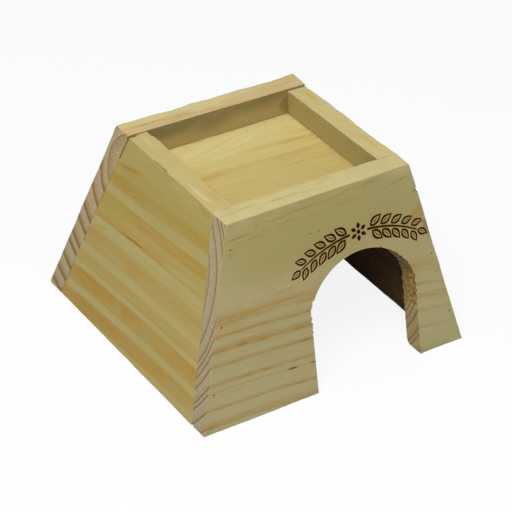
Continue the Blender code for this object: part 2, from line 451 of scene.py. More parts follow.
# The stems lie on an arc whose crown is this far up the board, and its angles run from there
STEM_RADIUS = 80.0 * MM
STEM_CROWN = 88.6 * MM
STEM_START = math.radians(4.3)
STEM_REACH = math.radians(30.0)
STEM_WIDTH = 1.2 * MM
STEM_TAPER = 0.55

# A leaf's belly under 1 puts its widest place nearer its stalk. Its midrib's length and start are
# shares of its own length.
LEAF_LENGTH = 8.6 * MM
LEAF_WIDTH = 4.2 * MM
LEAF_BELLY = 0.85
LINE_WIDTH = 1.2 * MM
RIB_WIDTH = 0.5 * MM
RIB_LENGTH = 0.62
RIB_START = 0.16

# Leaves stand off the stem, so that no burnt line runs into another. They get smaller towards the
# tip, where one leaf ends the stem. Places are shares of a pair's room, and angles are radians.
LEAF_PAIRS = 5
LEAF_TILT = math.radians(38.0)
LEAF_STANDS_OFF = 1.85 * MM
LEAF_SHRINKS = 0.2
PAIR_PLACE = 0.55
OUTER_LEAF_LAGS = 0.02
TIP_LEAF_LEADS = 0.012

PETALS = 6
PETAL_LENGTH = 3.6 * MM
PETAL_WIDTH = 2.2 * MM
PETAL_GAP = 0.9 * MM
HEART_RADIUS = 1.2 * MM

SCORCH_SPREAD = 0.3 * MM
SCORCH_DEPTH = 0.03 * MM
CHAR_DEPTH = 0.3 * MM
TOOL_STANDS_OUT = 1.0 * MM


def leaf_outline(length, width, grown):
    """A pointed oval from its stalk to its tip, grown outwards by this much."""
    steps = 10
    upper = []
    for step in range(steps + 1):
        share = step / steps
        along = -grown + (length + 2.0 * grown) * share
        upper.append((along, (width / 2 + grown) * math.sin(math.pi * share**LEAF_BELLY)))
    lower = [(along, -across) for along, across in upper[1:-1]]
    return upper + lower[::-1]


def leaf_drawing(grown):
    """A leaf in outline with its midrib, as closed outlines that fill by turns."""
    half_line = LINE_WIDTH / 2 + grown
    outside = leaf_outline(LEAF_LENGTH, LEAF_WIDTH, half_line)
    inside = leaf_outline(LEAF_LENGTH, LEAF_WIDTH, -half_line)
    rib = leaf_outline(RIB_LENGTH * LEAF_LENGTH, RIB_WIDTH, grown / 2)
    return outside, inside, [(along + RIB_START * LEAF_LENGTH, across) for along, across in rib]


def petal_drawing(grown):
    """A small filled leaf shape."""
    return (leaf_outline(PETAL_LENGTH, PETAL_WIDTH, grown),)


def heart_drawing(grown):
    """The round dot in the middle of the flower."""
    corners = 16
    angles = [2.0 * math.pi * corner / corners for corner in range(corners)]
    reach = HEART_RADIUS + grown
    return ([(reach * math.cos(angle), reach * math.sin(angle)) for angle in angles],)


def stem_drawing(grown):
    """The right half of the stem round the arc's middle, thinner towards its tip."""
    steps = 24
    outer, inner = [], []
    for step in range(steps + 1):
        share = step / steps
        angle = STEM_START + (STEM_REACH - STEM_START) * share
        half = STEM_WIDTH / 2 * (1.0 - STEM_TAPER * share) + grown
        sin, cos = math.sin(angle), math.cos(angle)
        outer.append(((STEM_RADIUS + half) * sin, (STEM_RADIUS + half) * cos))
        inner.append(((STEM_RADIUS - half) * sin, (STEM_RADIUS - half) * cos))
    return (outer + inner[::-1],)


def flat_tool(name, outlines, depth, material):
    """A tool of this outline that stands on a face and reaches this deep into it."""
    drawing = bpy.data.curves.new(name, "CURVE")
    drawing.dimensions = "2D"
    drawing.fill_mode = "BOTH"
    drawing.extrude = (depth + TOOL_STANDS_OUT) / 2
    for outline in outlines:
        spline = drawing.splines.new("POLY")
        spline.points.add(len(outline) - 1)
        for point, (across, up) in zip(spline.points, outline):
            point.co = (across, up, 0.0, 1.0)
        spline.use_cyclic_u = True
    drawing.materials.append(material)
    tool = bpy.data.objects.new(name, drawing)
    bpy.context.scene.collection.objects.link(tool)
    work_on(tool)
    bpy.ops.object.convert(target="MESH")
    open_piece(tool)
    bpy.ops.mesh.select_all(action="SELECT")
    bpy.ops.mesh.remove_doubles(threshold=0.001 * MM)
    bpy.ops.mesh.normals_make_consistent(inside=False)
    close_piece()
    return tool


def sprig_places():
    """Where one sprig's leaves sit: angle along the stem, distance off it, tilt and size."""
    places = [(STEM_REACH + TIP_LEAF_LEADS, 0.0, 0.0, 1.0 - LEAF_SHRINKS)]
    for pair in range(LEAF_PAIRS):
        share = (pair + PAIR_PLACE) / LEAF_PAIRS
        angle = STEM_START + (STEM_REACH - STEM_START) * share
        size = 1.0 - LEAF_SHRINKS * share
        places.append((angle - OUTER_LEAF_LAGS, LEAF_STANDS_OFF, LEAF_TILT, size))
        places.append((angle, -LEAF_STANDS_OFF, -LEAF_TILT, size))
    return places


def make_burning_tools(grown, depth, material):
    """Both sprigs and the flower between them, as solids that stand on the front board's face."""
    drawings = {
        "leaf": leaf_drawing(grown),
        "petal": petal_drawing(grown),
        "heart": heart_drawing(grown),
        "stem": stem_drawing(grown),
    }
    patterns = {name: flat_tool(name, outlines, depth, material) for name, outlines in drawings.items()}
    tools = []
    upright = Matrix.Rotation(math.radians(90.0), 4, "X")
    middle = Vector((DOOR_OFFSET, (depth - TOOL_STANDS_OUT) / 2, STEM_CROWN - STEM_RADIUS))
    face = board_frame("front") @ Matrix.Translation(middle) @ upright

    def set_on_face(name, place):
        tool = patterns[name].copy()
        tool.data = patterns[name].data.copy()
        bpy.context.scene.collection.objects.link(tool)
        put_down(tool, face @ place)
        open_piece(tool)
        bpy.ops.mesh.select_all(action="SELECT")
        bpy.ops.mesh.normals_make_consistent(inside=False)
        close_piece()
        tools.append(tool)

    for mirror in (1.0, -1.0):
        side = Matrix.Diagonal((mirror, 1.0, 1.0, 1.0))
        set_on_face("stem", side)
        for angle, off, tilt, size in sprig_places():
            swing = Matrix.Rotation(-angle, 4, "Z")
            out = Matrix.Translation((0.0, STEM_RADIUS + off, 0.0))
            turn = Matrix.Rotation(tilt, 4, "Z")
            scale = Matrix.Diagonal((size, size, 1.0, 1.0))
            set_on_face("leaf", side @ swing @ out @ turn @ scale)
    heart = Matrix.Translation((0.0, STEM_RADIUS, 0.0))
    set_on_face("heart", heart)
    out = Matrix.Translation((HEART_RADIUS + PETAL_GAP, 0.0, 0.0))
    for petal in range(PETALS):
        turn = Matrix.Rotation(math.pi / 2 + 2.0 * math.pi * petal / PETALS, 4, "Z")
        set_on_face("petal", heart @ turn @ out)
    for pattern in patterns.values():
        bpy.data.objects.remove(pattern, do_unlink=True)
    return tools


# Materials


def linear(hex_colour):
    """The linear colour of an sRGB hex value such as c8ba85."""
    channels = (int(hex_colour[start : start + 2], 16) / 255 for start in (0, 2, 4))
    return (*(c / 12.92 if c <= 0.04045 else ((c + 0.055) / 1.055) ** 2.4 for c in channels), 1.0)


def plug(tree, node, sockets):
    """Gives a node's sockets, named or counted, their numbers, colours or links."""
    in_use = [socket for socket in node.inputs if socket.enabled]
    for name, value in sockets.items():
        socket = in_use[name] if isinstance(name, int) else next(s for s in in_use if s.name == name)
        if isinstance(value, bpy.types.Node):
            value = next(output for output in value.outputs if output.enabled)
        if isinstance(value, bpy.types.NodeSocket):
            tree.links.new(value, socket)
        else:
            socket.default_value = value


def set_stops(ramp, stops):
    """Sets a colour ramp's stops, which are places and hex colours from the lowest upwards."""
    ends = ((ramp.elements[0], stops[0]), (ramp.elements[1], stops[-1]))
    for element, (place, hex_colour) in ends:
        element.position = place
        element.color = linear(hex_colour)
    for place, hex_colour in stops[1:-1]:
        ramp.elements.new(place).color = linear(hex_colour)


def add_node(tree, kind, sockets=None, stops=(), **settings):
    """Adds a node with its settings, and a ramp with its stops, and plugs its sockets."""
    node = tree.nodes.new(kind)
    for setting, value in settings.items():
        setattr(node, setting, value)
    if stops:
        set_stops(node.color_ramp, stops)
    plug(tree, node, sockets or {})
    return node


def new_material(name):
    """A new material with its node tree and the shader in it."""
    material = bpy.data.materials.new(name)
    material.use_nodes = True
    tree = material.node_tree
    return material, tree, tree.nodes["Principled BSDF"]


def bend_curve(curve, spots, low, high):
    """Draws a curve node through given spots between two values, with straight runs."""
    line = curve.mapping.curves[0]
    inside = [((place - low) / (high - low), tone) for place, tone in spots if low < place < high]
    line.points[0].location = (0.0, spots[0][1])
    line.points[-1].location = (1.0, spots[-1][1])
    for spot in inside:
        line.points.new(*spot)
    for point in line.points:
        point.handle_type = "VECTOR"
    curve.mapping.update()


def along_profile(tree, value, spots):
    """The tone of a given profile at a value."""
    low, high = spots[0][0], spots[-1][0]
    share = add_node(tree, "ShaderNodeMapRange", {"Value": value, "From Min": low, "From Max": high})
    curve = add_node(tree, "ShaderNodeFloatCurve", {"Value": share})
    bend_curve(curve, spots, low, high)
    return curve


def stretched_noise(tree, place, sizes, detail=2.0, roughness=0.5):
    """A cloudy pattern from 0 to 1 whose cells have these sizes along, into and up the board."""
    scale = Vector([1.0 / size for size in sizes])
    cells = add_node(tree, "ShaderNodeVectorMath", {0: place, 1: scale}, operation="MULTIPLY")
    sockets = {"Vector": cells, "Scale": 1.0, "Detail": detail, "Roughness": roughness}
    return add_node(tree, "ShaderNodeTexNoise", sockets)


def stir_in(tree, tone, pattern, stretch, effect, operation):
    """A tone that a pattern changes. Over this stretch of the pattern's values, the effect that is
    added or multiplied goes from its first number to its second."""
    sockets = {
        "Value": pattern,
        "From Min": stretch[0],
        "From Max": stretch[1],
        "To Min": effect[0],
        "To Max": effect[1],
    }
    change = add_node(tree, "ShaderNodeMapRange", sockets)
    return add_node(tree, "ShaderNodeMath", {0: tone, 1: change}, operation=operation)


def tint_by(tree, colour, over, pattern, stretch, strongest):
    """A colour with another over it where a pattern is high, fading in over this stretch."""
    sockets = {"Value": pattern, "From Min": stretch[0], "From Max": stretch[1], "To Max": strongest}
    share = add_node(tree, "ShaderNodeMapRange", sockets)
    sockets = {"Factor": share, "A": colour, "B": linear(over)}
    return add_node(tree, "ShaderNodeMix", sockets, data_type="RGBA")


def lay_over(tree, colour, over, first_share, second_share):
    """A colour with another over it, as strong as two shares multiplied."""
    share = add_node(tree, "ShaderNodeMath", {0: first_share, 1: second_share}, operation="MULTIPLY")
    return add_node(tree, "ShaderNodeMix", {"Factor": share, "A": colour, "B": over}, data_type="RGBA")


def add_marks(tree, place, plane, marks):
    """Soft-edged ovals on one of a board's faces: where along and across, half sizes, tilt, tone."""
    mask = None
    for along, across, half_length, half_width, tilt, tone in marks:
        sockets = {"Vector": place, **oval_sockets(plane, along, across, half_length, half_width, tilt)}
        oval = add_node(tree, "ShaderNodeMapping", sockets, vector_type="TEXTURE")
        out = add_node(tree, "ShaderNodeVectorMath", {0: oval}, operation="LENGTH")
        near = {"Value": out, "From Min": 1.0, "From Max": 0.35, "To Min": 0.0, "To Max": tone}
        mark = add_node(tree, "ShaderNodeMapRange", near, interpolation_type="SMOOTHSTEP")
        if mask is None:
            mask = mark
        else:
            mask = add_node(tree, "ShaderNodeMath", {0: mask, 1: mark}, operation="MAXIMUM")
    return mask


def facing(tree, direction, start, end, either_way=False):
    """How far the surface faces a direction, from 0 at one cosine to 1 at another."""
    normal = add_node(tree, "ShaderNodeTexCoord").outputs["Normal"]
    cosine = add_node(tree, "ShaderNodeVectorMath", {0: normal, 1: direction}, operation="DOT_PRODUCT")
    if either_way:
        cosine = add_node(tree, "ShaderNodeMath", {0: cosine}, operation="ABSOLUTE")
    return add_node(tree, "ShaderNodeMapRange", {"Value": cosine, "From Min": start, "From Max": end})


def oval_sockets(plane, along, across, half_length, half_width, tilt):
    """An oval's place, turn and size on the outer face, the inner face or the top of a board."""
    turn = math.radians(tilt)
    right_through = 60.0
    if plane == "top":
        return {
            "Location": (along, across, SLOPE / MM),
            "Rotation": (0.0, 0.0, turn),
            "Scale": (half_length, half_width, right_through),
        }
    depth = {"outer": 0.0, "inner": BOARD / MM}[plane]
    return {
        "Location": (along, depth, across),
        "Rotation": (0.0, -turn, 0.0),
        "Scale": (half_length, right_through, half_width),
    }


# How each board was cut from its log, in millimetres in the board's frame. The grain runs along
# the board and its rings lie round the pith, which is a height and a depth. Low and high give how
# the rings climb along the board: the place where they are at their own height, the slope there
# and the bend. From low to high the climb turns over between two heights. A profile runs from
# pale earlywood at 0 over orange latewood at 0.6 to dark lines at 1, by distance from the pith.
# Ring ends are the distances where rings end on the end grain. Each gets darker over its ring
# band, by its darkening, and ends in a line. Fine rings are thin ones between, with their spacing
# and strength. Fading is how weak and how strong the rings get along the grain, and broken is how
# much thin ones lose where they break off. Quiet above gives two heights over which they go faint.
# Early, late, line and tint are the colours of the faces, and ends those of the end grain.

FRONT_GRAIN = {
    "pith": (83.0, 70.0),
    "low": (-80.0, -0.033, -0.00036),
    "high": (-63.0, 0.07, 0.0),
    "turnover": (40.0, 98.0),
    "profile": (
        (69.0, 0.06), (70.9, 0.06), (71.6, 0.12), (72.0, 0.18), (72.4, 0.34), (72.7, 0.18),
        (73.1, 0.30), (73.4, 0.15), (73.8, 0.09), (74.6, 0.10), (74.9, 0.20), (75.25, 0.44),
        (75.5, 0.24), (75.8, 0.10), (76.9, 0.05), (77.2, 0.12), (77.5, 0.27), (78.1, 0.28),
        (78.5, 0.42), (78.85, 0.24), (79.2, 0.10), (81.2, 0.03), (81.7, 0.14), (82.1, 0.30),
        (82.5, 0.38), (82.85, 0.20), (83.4, 0.08), (87.1, 0.03), (87.6, 0.10), (88.0, 0.26),
        (88.8, 0.30), (89.2, 0.14), (89.5, 0.04), (90.9, 0.04), (91.4, 0.28), (91.9, 0.05),
        (92.6, 0.04), (93.0, 0.14), (93.4, 0.03), (96.4, 0.03), (97.3, 0.16), (98.0, 0.34),
        (98.4, 0.50), (98.85, 0.20), (99.1, 0.04), (102.7, 0.03), (103.3, 0.15), (104.1, 0.27),
        (105.1, 0.30), (105.6, 0.46), (106.1, 0.15), (106.5, 0.03), (111.0, 0.04), (111.9, 0.50),
        (112.4, 0.04), (121.0, 0.05),
    ),
    "ring_ends": (60.0, 66.9, 72.6, 75.3, 78.5, 82.5, 88.7, 91.4, 98.4, 105.6, 112.0, 120.2),
    "ring_band": 0.9,
    "darkening": 0.12,
    "fine_rings": (2.6, 0.10),
    "fading": (1.1, 1.8),
    "broken": 0.32,
    "quiet_above": (84.0, 98.0),
    "early": "bbb184",
    "late": "ad8b48",
    "line": "775327",
    "tint": "b0a671",
    "ends": ("bfb695", "9d8152", "70522c"),
}

# The doorway's end grain is yellower, and its ring bands darker, than at the front board's ends:
# painted shade, the warm shade inside the doorway.
DOORWAY_GRAIN_PAINTED_SHADE = FRONT_GRAIN | {"ends": ("c6b986", "a5884c", "71522a"), "darkening": 0.2}

LEFT_GRAIN = {
    "pith": (-150.0, 12.0),
    "low": (0.0, 0.054, -0.00025),
    "high": (0.0, 0.09, 0.0002),
    "turnover": (60.0, 100.0),
    "profile": (
        (140.0, 0.10), (150.0, 0.04), (152.6, 0.05), (154.2, 0.34), (163.0, 0.42), (163.8, 0.02),
        (167.2, 0.0), (169.4, 0.34), (176.0, 0.42), (178.9, 0.46), (179.7, 0.02), (182.6, 0.0),
        (183.4, 0.36), (184.4, 0.20), (190.0, 0.22), (191.2, 0.0), (195.3, 0.0), (196.6, 0.22),
        (205.0, 0.34), (207.8, 0.26), (210.0, 0.02), (216.6, 0.0), (217.4, 0.60), (218.2, 0.34),
        (220.5, 0.30), (222.5, 0.26), (226.0, 0.22), (227.4, 0.44), (231.0, 0.40), (232.5, 0.46),
        (233.6, 0.48), (234.8, 0.02), (240.0, 0.0), (241.2, 0.36), (246.5, 0.50), (249.0, 0.44),
        (250.5, 0.20), (256.0, 0.20), (258.0, 0.10), (276.0, 0.08),
    ),
    "ring_ends": (153.0, 163.5, 179.5, 192.0, 209.0, 221.0, 234.5, 249.0, 257.0, 268.0, 280.0),
    "ring_band": 0.9,
    "darkening": 0.3,
    "fine_rings": (2.4, 0.15),
    "fading": (0.92, 1.06),
    "broken": 0.12,
    "early": "c1b376",
    "late": "b78e38",
    "line": "7a5728",
    "tint": "b9ab6c",
    "ends": ("bfb695", "9d8152", "70522c"),
}

RIGHT_GRAIN = LEFT_GRAIN | {
    "pith": (-158.0, 15.0),
    "low": (0.0, -0.045, 0.0002),
    "high": (0.0, -0.06, -0.0001),
    "early": "c2b377",
}

BACK_GRAIN = {
    "pith": (107.0, 24.0),
    "low": (82.0, -0.02, 0.0001),
    "high": (62.0, 0.02, 0.0),
    "turnover": (80.0, 100.0),
    "profile": (
        (10.0, 0.16), (20.2, 0.22), (20.6, 0.50), (21.0, 0.10), (27.6, 0.18), (28.3, 0.50),
        (28.7, 0.04), (37.8, 0.08), (38.8, 0.50), (39.2, 0.04), (50.0, 0.05), (51.0, 0.50),
        (51.4, 0.04), (59.0, 0.05), (60.0, 0.52), (60.4, 0.04), (69.2, 0.06), (70.2, 0.46),
        (70.6, 0.04), (75.4, 0.06), (76.4, 0.52), (76.8, 0.04), (85.4, 0.06), (86.4, 0.60),
        (86.8, 0.04), (95.0, 0.06), (96.0, 0.50), (96.4, 0.04), (104.0, 0.06), (105.0, 0.56),
        (105.4, 0.04), (115.0, 0.04),
    ),
    "ring_ends": (20.6, 28.3, 38.8, 51.0, 60.0, 70.2, 76.4, 86.4, 96.0, 105.0, 116.0, 127.0),
    "ring_band": 2.6,
    "darkening": 0.22,
    "fine_rings": (2.4, 0.12),
    "fading": (0.75, 1.5),
    "broken": 0.4,
    "early": "bbad7d",
    "late": "b4935a",
    "line": "79552c",
    "tint": "b5a374",
    "ends": ("c7bb99", "a1834f", "75552c"),
}

TRAY_GRAIN = {
    "pith": (-150.0, 9.0),
    "low": (-30.0, -0.045, 0.0),
    "high": (-30.0, 0.32, -0.0023),
    "turnover": (25.0, 46.0),
    "profile": (
        (80.0, 0.12), (133.6, 0.12), (134.2, 0.42), (134.9, 0.14), (135.7, 0.14), (136.3, 0.40),
        (136.9, 0.14), (138.0, 0.14), (138.6, 0.46), (139.3, 0.14), (140.7, 0.12), (141.3, 0.44),
        (142.2, 0.16), (162.3, 0.16), (163.2, 0.30), (163.9, 0.18), (164.3, 0.18), (165.2, 0.36),
        (165.8, 0.04), (166.2, 0.04), (166.6, 0.32), (167.2, 0.02), (168.6, 0.04), (177.0, 0.10),
        (178.6, 0.05), (180.6, 0.02), (181.4, 0.22), (182.2, 0.02), (184.0, 0.02), (185.0, 0.26),
        (185.8, 0.0), (188.6, 0.02), (190.0, 0.24), (190.8, 0.0), (194.0, 0.24), (195.2, 0.0),
        (215.0, 0.05),
    ),
    "ring_ends": (134.5, 141.3, 152.0, 163.0, 167.0, 178.0, 190.0),
    "ring_band": 0.9,
    "darkening": 0.2,
    "fine_rings": (0.8, 0.45),
    "fading": (0.7, 1.4),
    "broken": 0.1,
    "early": "c7b777",
    "late": "ac8f48",
    "line": "80602c",
    "tint": "bfae6a",
    "ends": ("c6b79b", "a0835a", "6e4f30"),
}


def climb_along(tree, along, start, slope, bend):
    """How far a ring has climbed at this place along the board."""
    gone = add_node(tree, "ShaderNodeMath", {0: along, 1: start}, operation="SUBTRACT")
    steep = add_node(tree, "ShaderNodeMath", {0: gone, 1: bend, 2: slope}, operation="MULTIPLY_ADD")
    return add_node(tree, "ShaderNodeMath", {0: gone, 1: steep}, operation="MULTIPLY")


def place_on_board(tree, board):
    """Where a point lies in the board's own frame, in millimetres."""
    corner, turn = board_place(board)
    sockets = {
        "Vector": add_node(tree, "ShaderNodeTexCoord").outputs["Object"],
        "Location": corner,
        "Rotation": turn,
        "Scale": (MM, MM, MM),
    }
    return add_node(tree, "ShaderNodeMapping", sockets, vector_type="TEXTURE")


def unsettled(tree, place, sizes, amounts):
    """A place pushed to and fro by a cloudy pattern, so that nothing drawn there is ruled."""
    clouds = stretched_noise(tree, place, sizes, detail=3.0)
    middle = (0.5, 0.5, 0.5)
    sockets = {0: clouds.outputs["Color"], 1: middle}
    swing = add_node(tree, "ShaderNodeVectorMath", sockets, operation="SUBTRACT")
    sockets = {0: swing, 1: amounts, 2: place}
    return add_node(tree, "ShaderNodeVectorMath", sockets, operation="MULTIPLY_ADD")


def distance_from_pith(tree, place, grain):
    """The distance from the log's middle line, which runs along the board with a climb."""
    parts = add_node(tree, "ShaderNodeSeparateXYZ", {"Vector": place})
    along, depth, height = (parts.outputs[axis] for axis in "XYZ")
    low = climb_along(tree, along, *grain["low"])
    high = climb_along(tree, along, *grain["high"])
    start, end = grain["turnover"]
    sockets = {"Value": height, "From Min": start, "From Max": end}
    turned = add_node(tree, "ShaderNodeMapRange", sockets, interpolation_type="SMOOTHSTEP")
    climb = add_node(tree, "ShaderNodeMix", {"Factor": turned, "A": low, "B": high})
    level = add_node(tree, "ShaderNodeMath", {0: height, 1: climb}, operation="SUBTRACT")
    up, into = grain["pith"]
    rise = add_node(tree, "ShaderNodeMath", {0: level, 1: up}, operation="SUBTRACT")
    reach = add_node(tree, "ShaderNodeMath", {0: depth, 1: into}, operation="SUBTRACT")
    across = add_node(tree, "ShaderNodeCombineXYZ", {"Y": reach, "Z": rise})
    return add_node(tree, "ShaderNodeVectorMath", {0: across}, operation="LENGTH")


def ring_profile(grain):
    """A profile whose rings darken slowly away from the pith, and each end in a sharp line."""
    ends = grain["ring_ends"]
    pale = 0.02
    dark = grain["darkening"]
    between = 0.3 * dark
    line = 0.58
    spots = [(ends[0] - 9.0, between), (ends[0] - 0.5, dark), (ends[0], line)]
    for start, end in zip(ends, ends[1:]):
        gap = end - start
        band = min(grain["ring_band"], 0.45 * gap)
        spots += [
            (start + 0.35, pale),
            (start + 0.5 * gap, between),
            (end - band, dark),
            (end - 0.1, line),
        ]
    return spots


def face_tone(tree, flat, place, distance, grain, marks):
    """How dark the rings, fibres and marks are along a planed face."""
    tone = along_profile(tree, distance, grain["profile"])

    # The rings fade and come back along the grain, and thin ones break into dashes
    fading = stretched_noise(tree, place, (34.0, 9.0, 7.0))
    tone = stir_in(tree, tone, fading, (0.3, 0.65), grain["fading"], "MULTIPLY")
    gaps = stretched_noise(tree, place, (7.0, 1.0, 0.7), detail=1.0)
    tone = stir_in(tree, tone, gaps, (0.38, 0.6), (1.0 - grain["broken"], 1.1), "MULTIPLY")
    if "quiet_above" in grain:
        height = add_node(tree, "ShaderNodeSeparateXYZ", {"Vector": flat}).outputs["Z"]
        tone = stir_in(tree, tone, height, grain["quiet_above"], (1.0, 0.15), "MULTIPLY")

    # Thin rings between the strong ones, at uneven distances
    along = add_node(tree, "ShaderNodeSeparateXYZ", {"Vector": place}).outputs["X"]
    laid_out = add_node(tree, "ShaderNodeCombineXYZ", {"X": along, "Z": distance})
    spacing, strength = grain["fine_rings"]
    rings = stretched_noise(tree, laid_out, (110.0, 1.0, spacing), detail=2.0, roughness=0.6)
    tone = stir_in(tree, tone, rings, (0.45, 0.75), (0.0, strength), "ADD")

    # Fibres, drawn 0.5 mm wide, which is coarser than they are, so that they show
    fibres = stretched_noise(tree, place, (14.0, 0.55, 0.5), detail=4.0, roughness=0.7)
    tone = stir_in(tree, tone, fibres, (0.3, 0.7), (-0.1, 0.13), "ADD")
    if marks:
        mask = add_marks(tree, place, "outer", marks)
        tone = add_node(tree, "ShaderNodeMath", {0: tone, 1: mask}, operation="ADD")
    return tone


def face_colour(tree, flat, place, tone, grain):
    """The colour along a planed face, with cloudy tints and short brown resin channels."""
    stops = ((0.0, grain["early"]), (0.6, grain["late"]), (1.0, grain["line"]))
    colour = add_node(tree, "ShaderNodeValToRGB", {"Fac": tone}, stops)
    clouds = stretched_noise(tree, place, (48.0, 20.0, 26.0), detail=1.0)
    colour = tint_by(tree, colour, grain["tint"], clouds, (0.45, 0.75), 0.6)
    channels = stretched_noise(tree, flat, (5.0, 0.35, 0.3), detail=1.0)
    return tint_by(tree, colour, grain["line"], channels, (0.66, 0.8), 0.5)


def end_colour(tree, distance, pores, grain):
    """The end grain: greyer than the faces, with open pores that gather before each ring's line."""
    rings = along_profile(tree, distance, ring_profile(grain))
    tone = stir_in(tree, rings, pores, (0.35, 0.7), (-0.12, 0.4), "ADD")
    stops = tuple(zip((0.0, 0.42, 0.8), grain["ends"]))
    return add_node(tree, "ShaderNodeValToRGB", {"Fac": tone}, stops)


def planed_pine(name, board, grain, marks=(), patches=(), torn_above=None):
    """Unfinished planed pine: dull, pale, with orange latewood and short dark fibres in it."""
    material, tree, shader = new_material(name)
    flat = place_on_board(tree, board)
    place = unsettled(tree, flat, sizes=(60.0, 30.0, 22.0), amounts=(0.0, 1.6, 1.6))
    place = unsettled(tree, place, sizes=(11.0, 5.0, 4.0), amounts=(0.0, 0.35, 0.35))
    distance = distance_from_pith(tree, place, grain)
    tone = face_tone(tree, flat, place, distance, grain, marks)
    colour = face_colour(tree, flat, place, tone, grain)

    turned = board_frame(board).to_3x3()
    outwards = {"outer": turned @ -INWARDS, "inner": turned @ INWARDS, "top": UP}
    # Patches of colour: stains and streaks, and on some boards painted light and shade
    for plane, hex_colour, ovals in patches:
        mask = add_marks(tree, place, plane, ovals)
        on_plane = facing(tree, outwards[plane], start=0.7, end=0.9)
        colour = lay_over(tree, colour, linear(hex_colour), mask, on_plane)

    # End grain shows wherever the surface faces along the board
    pores = stretched_noise(tree, flat, (0.9, 0.6, 0.6), detail=3.0, roughness=0.7)
    ends = facing(tree, turned @ ALONG, start=0.45, end=0.8, either_way=True)
    cut = end_colour(tree, distance, pores, grain)
    if torn_above is None:
        sockets = {"Factor": ends, "A": colour, "B": cut}
        colour = add_node(tree, "ShaderNodeMix", sockets, data_type="RGBA")
    else:
        colour = tear_end_grain(tree, flat, cut, torn_above)

    # The arrises between the faces and the ends are drawn paler, broken up by the pores
    endways = facing(tree, turned @ ALONG, start=0.35, end=0.5, either_way=True)
    faceways = facing(tree, turned @ INWARDS, start=0.35, end=0.5, either_way=True)
    arris = add_node(tree, "ShaderNodeMath", {0: endways, 1: faceways}, operation="MULTIPLY")
    colour = lay_over(tree, colour, linear("d8c884"), arris, pores)

    # Latewood is harder, so the plane leaves it a little glossier
    bump = add_node(tree, "ShaderNodeBump", {"Strength": 0.25, "Distance": 0.2 * MM, "Height": pores})
    sockets = {"Value": tone, "From Min": 0.0, "From Max": 0.8, "To Min": 0.62, "To Max": 0.5}
    dull = add_node(tree, "ShaderNodeMapRange", sockets)
    sockets = {"Base Color": colour, "Roughness": dull, "Normal": bump, "Specular IOR Level": 0.15}
    plug(tree, shader, sockets)
    return material


def mottle(tree, flat):
    """Brown and orange tufts, where fibres were torn out instead of cut."""
    tufts = stretched_noise(tree, flat, (1.6, 1.6, 1.1), detail=3.0, roughness=0.7)
    stops = ((0.33, "69481c"), (0.5, "a48643"), (0.68, "b39655"))
    return add_node(tree, "ShaderNodeValToRGB", {"Fac": tufts}, stops)


def tear_end_grain(tree, flat, colour, torn_above):
    """Mottles the end grain above this height, where the saw tore the fibres."""
    fully_torn = torn_above + 6.0
    strongest = 0.85
    height = add_node(tree, "ShaderNodeSeparateXYZ", {"Vector": flat}).outputs["Z"]
    sockets = {"Value": height, "From Min": torn_above, "From Max": fully_torn}
    torn = add_node(tree, "ShaderNodeMapRange", sockets, interpolation_type="SMOOTHSTEP")
    return lay_over(tree, colour, mottle(tree, flat), torn, strongest)


def torn_pine(name, board):
    """Pine where a sliver was torn out: brown, matt and ragged."""
    material, tree, shader = new_material(name)
    colour = mottle(tree, place_on_board(tree, board))
    plug(tree, shader, {"Base Color": colour, "Roughness": 0.8, "Specular IOR Level": 0.1})
    return material


def sawn_pine_painted_shade(name, board):
    """Pine for the inside of the den, its dark browns painted shade: upright saw marks and no gloss."""
    material, tree, shader = new_material(name)
    place = place_on_board(tree, board)
    kerf_strength = 0.35
    kerfs = stretched_noise(tree, place, (1.3, 4.0, 30.0), detail=2.0)
    grain = stretched_noise(tree, place, (40.0, 6.0, 2.2), detail=3.0)
    sockets = {0: kerfs, 1: kerf_strength, 2: grain}
    both = add_node(tree, "ShaderNodeMath", sockets, operation="MULTIPLY_ADD")
    # Dark browns that are painted shade, for the inside of the den
    stops = ((0.5, "6f543b"), (0.85, "947454"))
    colours = add_node(tree, "ShaderNodeValToRGB", {"Fac": both}, stops)
    bump = add_node(tree, "ShaderNodeBump", {"Strength": 0.5, "Distance": 0.3 * MM, "Height": kerfs})
    sockets = {"Base Color": colours, "Roughness": 0.9, "Specular IOR Level": 0.04, "Normal": bump}
    plug(tree, shader, sockets)
    return material


def burnt_pine(name, board, dark, light, roughness):
    """Pine under a hot tool: charred brown to black, matt, a little uneven along the grain."""
    material, tree, shader = new_material(name)
    place = place_on_board(tree, board)
    soot = stretched_noise(tree, place, (2.4, 1.0, 0.8), detail=3.0, roughness=0.6)
    stops = ((0.35, dark), (0.7, light))
    colours = add_node(tree, "ShaderNodeValToRGB", {"Fac": soot}, stops)
    bump = add_node(tree, "ShaderNodeBump", {"Strength": 0.3, "Distance": 0.1 * MM, "Height": soot})
    sockets = {"Base Color": colours, "Roughness": roughness, "Specular IOR Level": 0.1, "Normal": bump}
    plug(tree, shader, sockets)
    return material


def coated_wire(name):
    """Galvanised brad wire under dull glue and dust: dark, with worn brighter spots."""
    material, tree, shader = new_material(name)
    spot_width = 0.7 * MM
    where = add_node(tree, "ShaderNodeTexCoord").outputs["Object"]
    wear = add_node(tree, "ShaderNodeTexNoise", {"Vector": where, "Scale": 1.0 / spot_width})
    stops = ((0.4, "5a5142"), (0.75, "948a76"))
    colours = add_node(tree, "ShaderNodeValToRGB", {"Fac": wear}, stops)
    dull = add_node(tree, "ShaderNodeMapRange", {"Value": wear, "To Min": 0.65, "To Max": 0.4})
    plug(tree, shader, {"Base Color": colours, "Roughness": dull, "Metallic": 0.4})
    return material


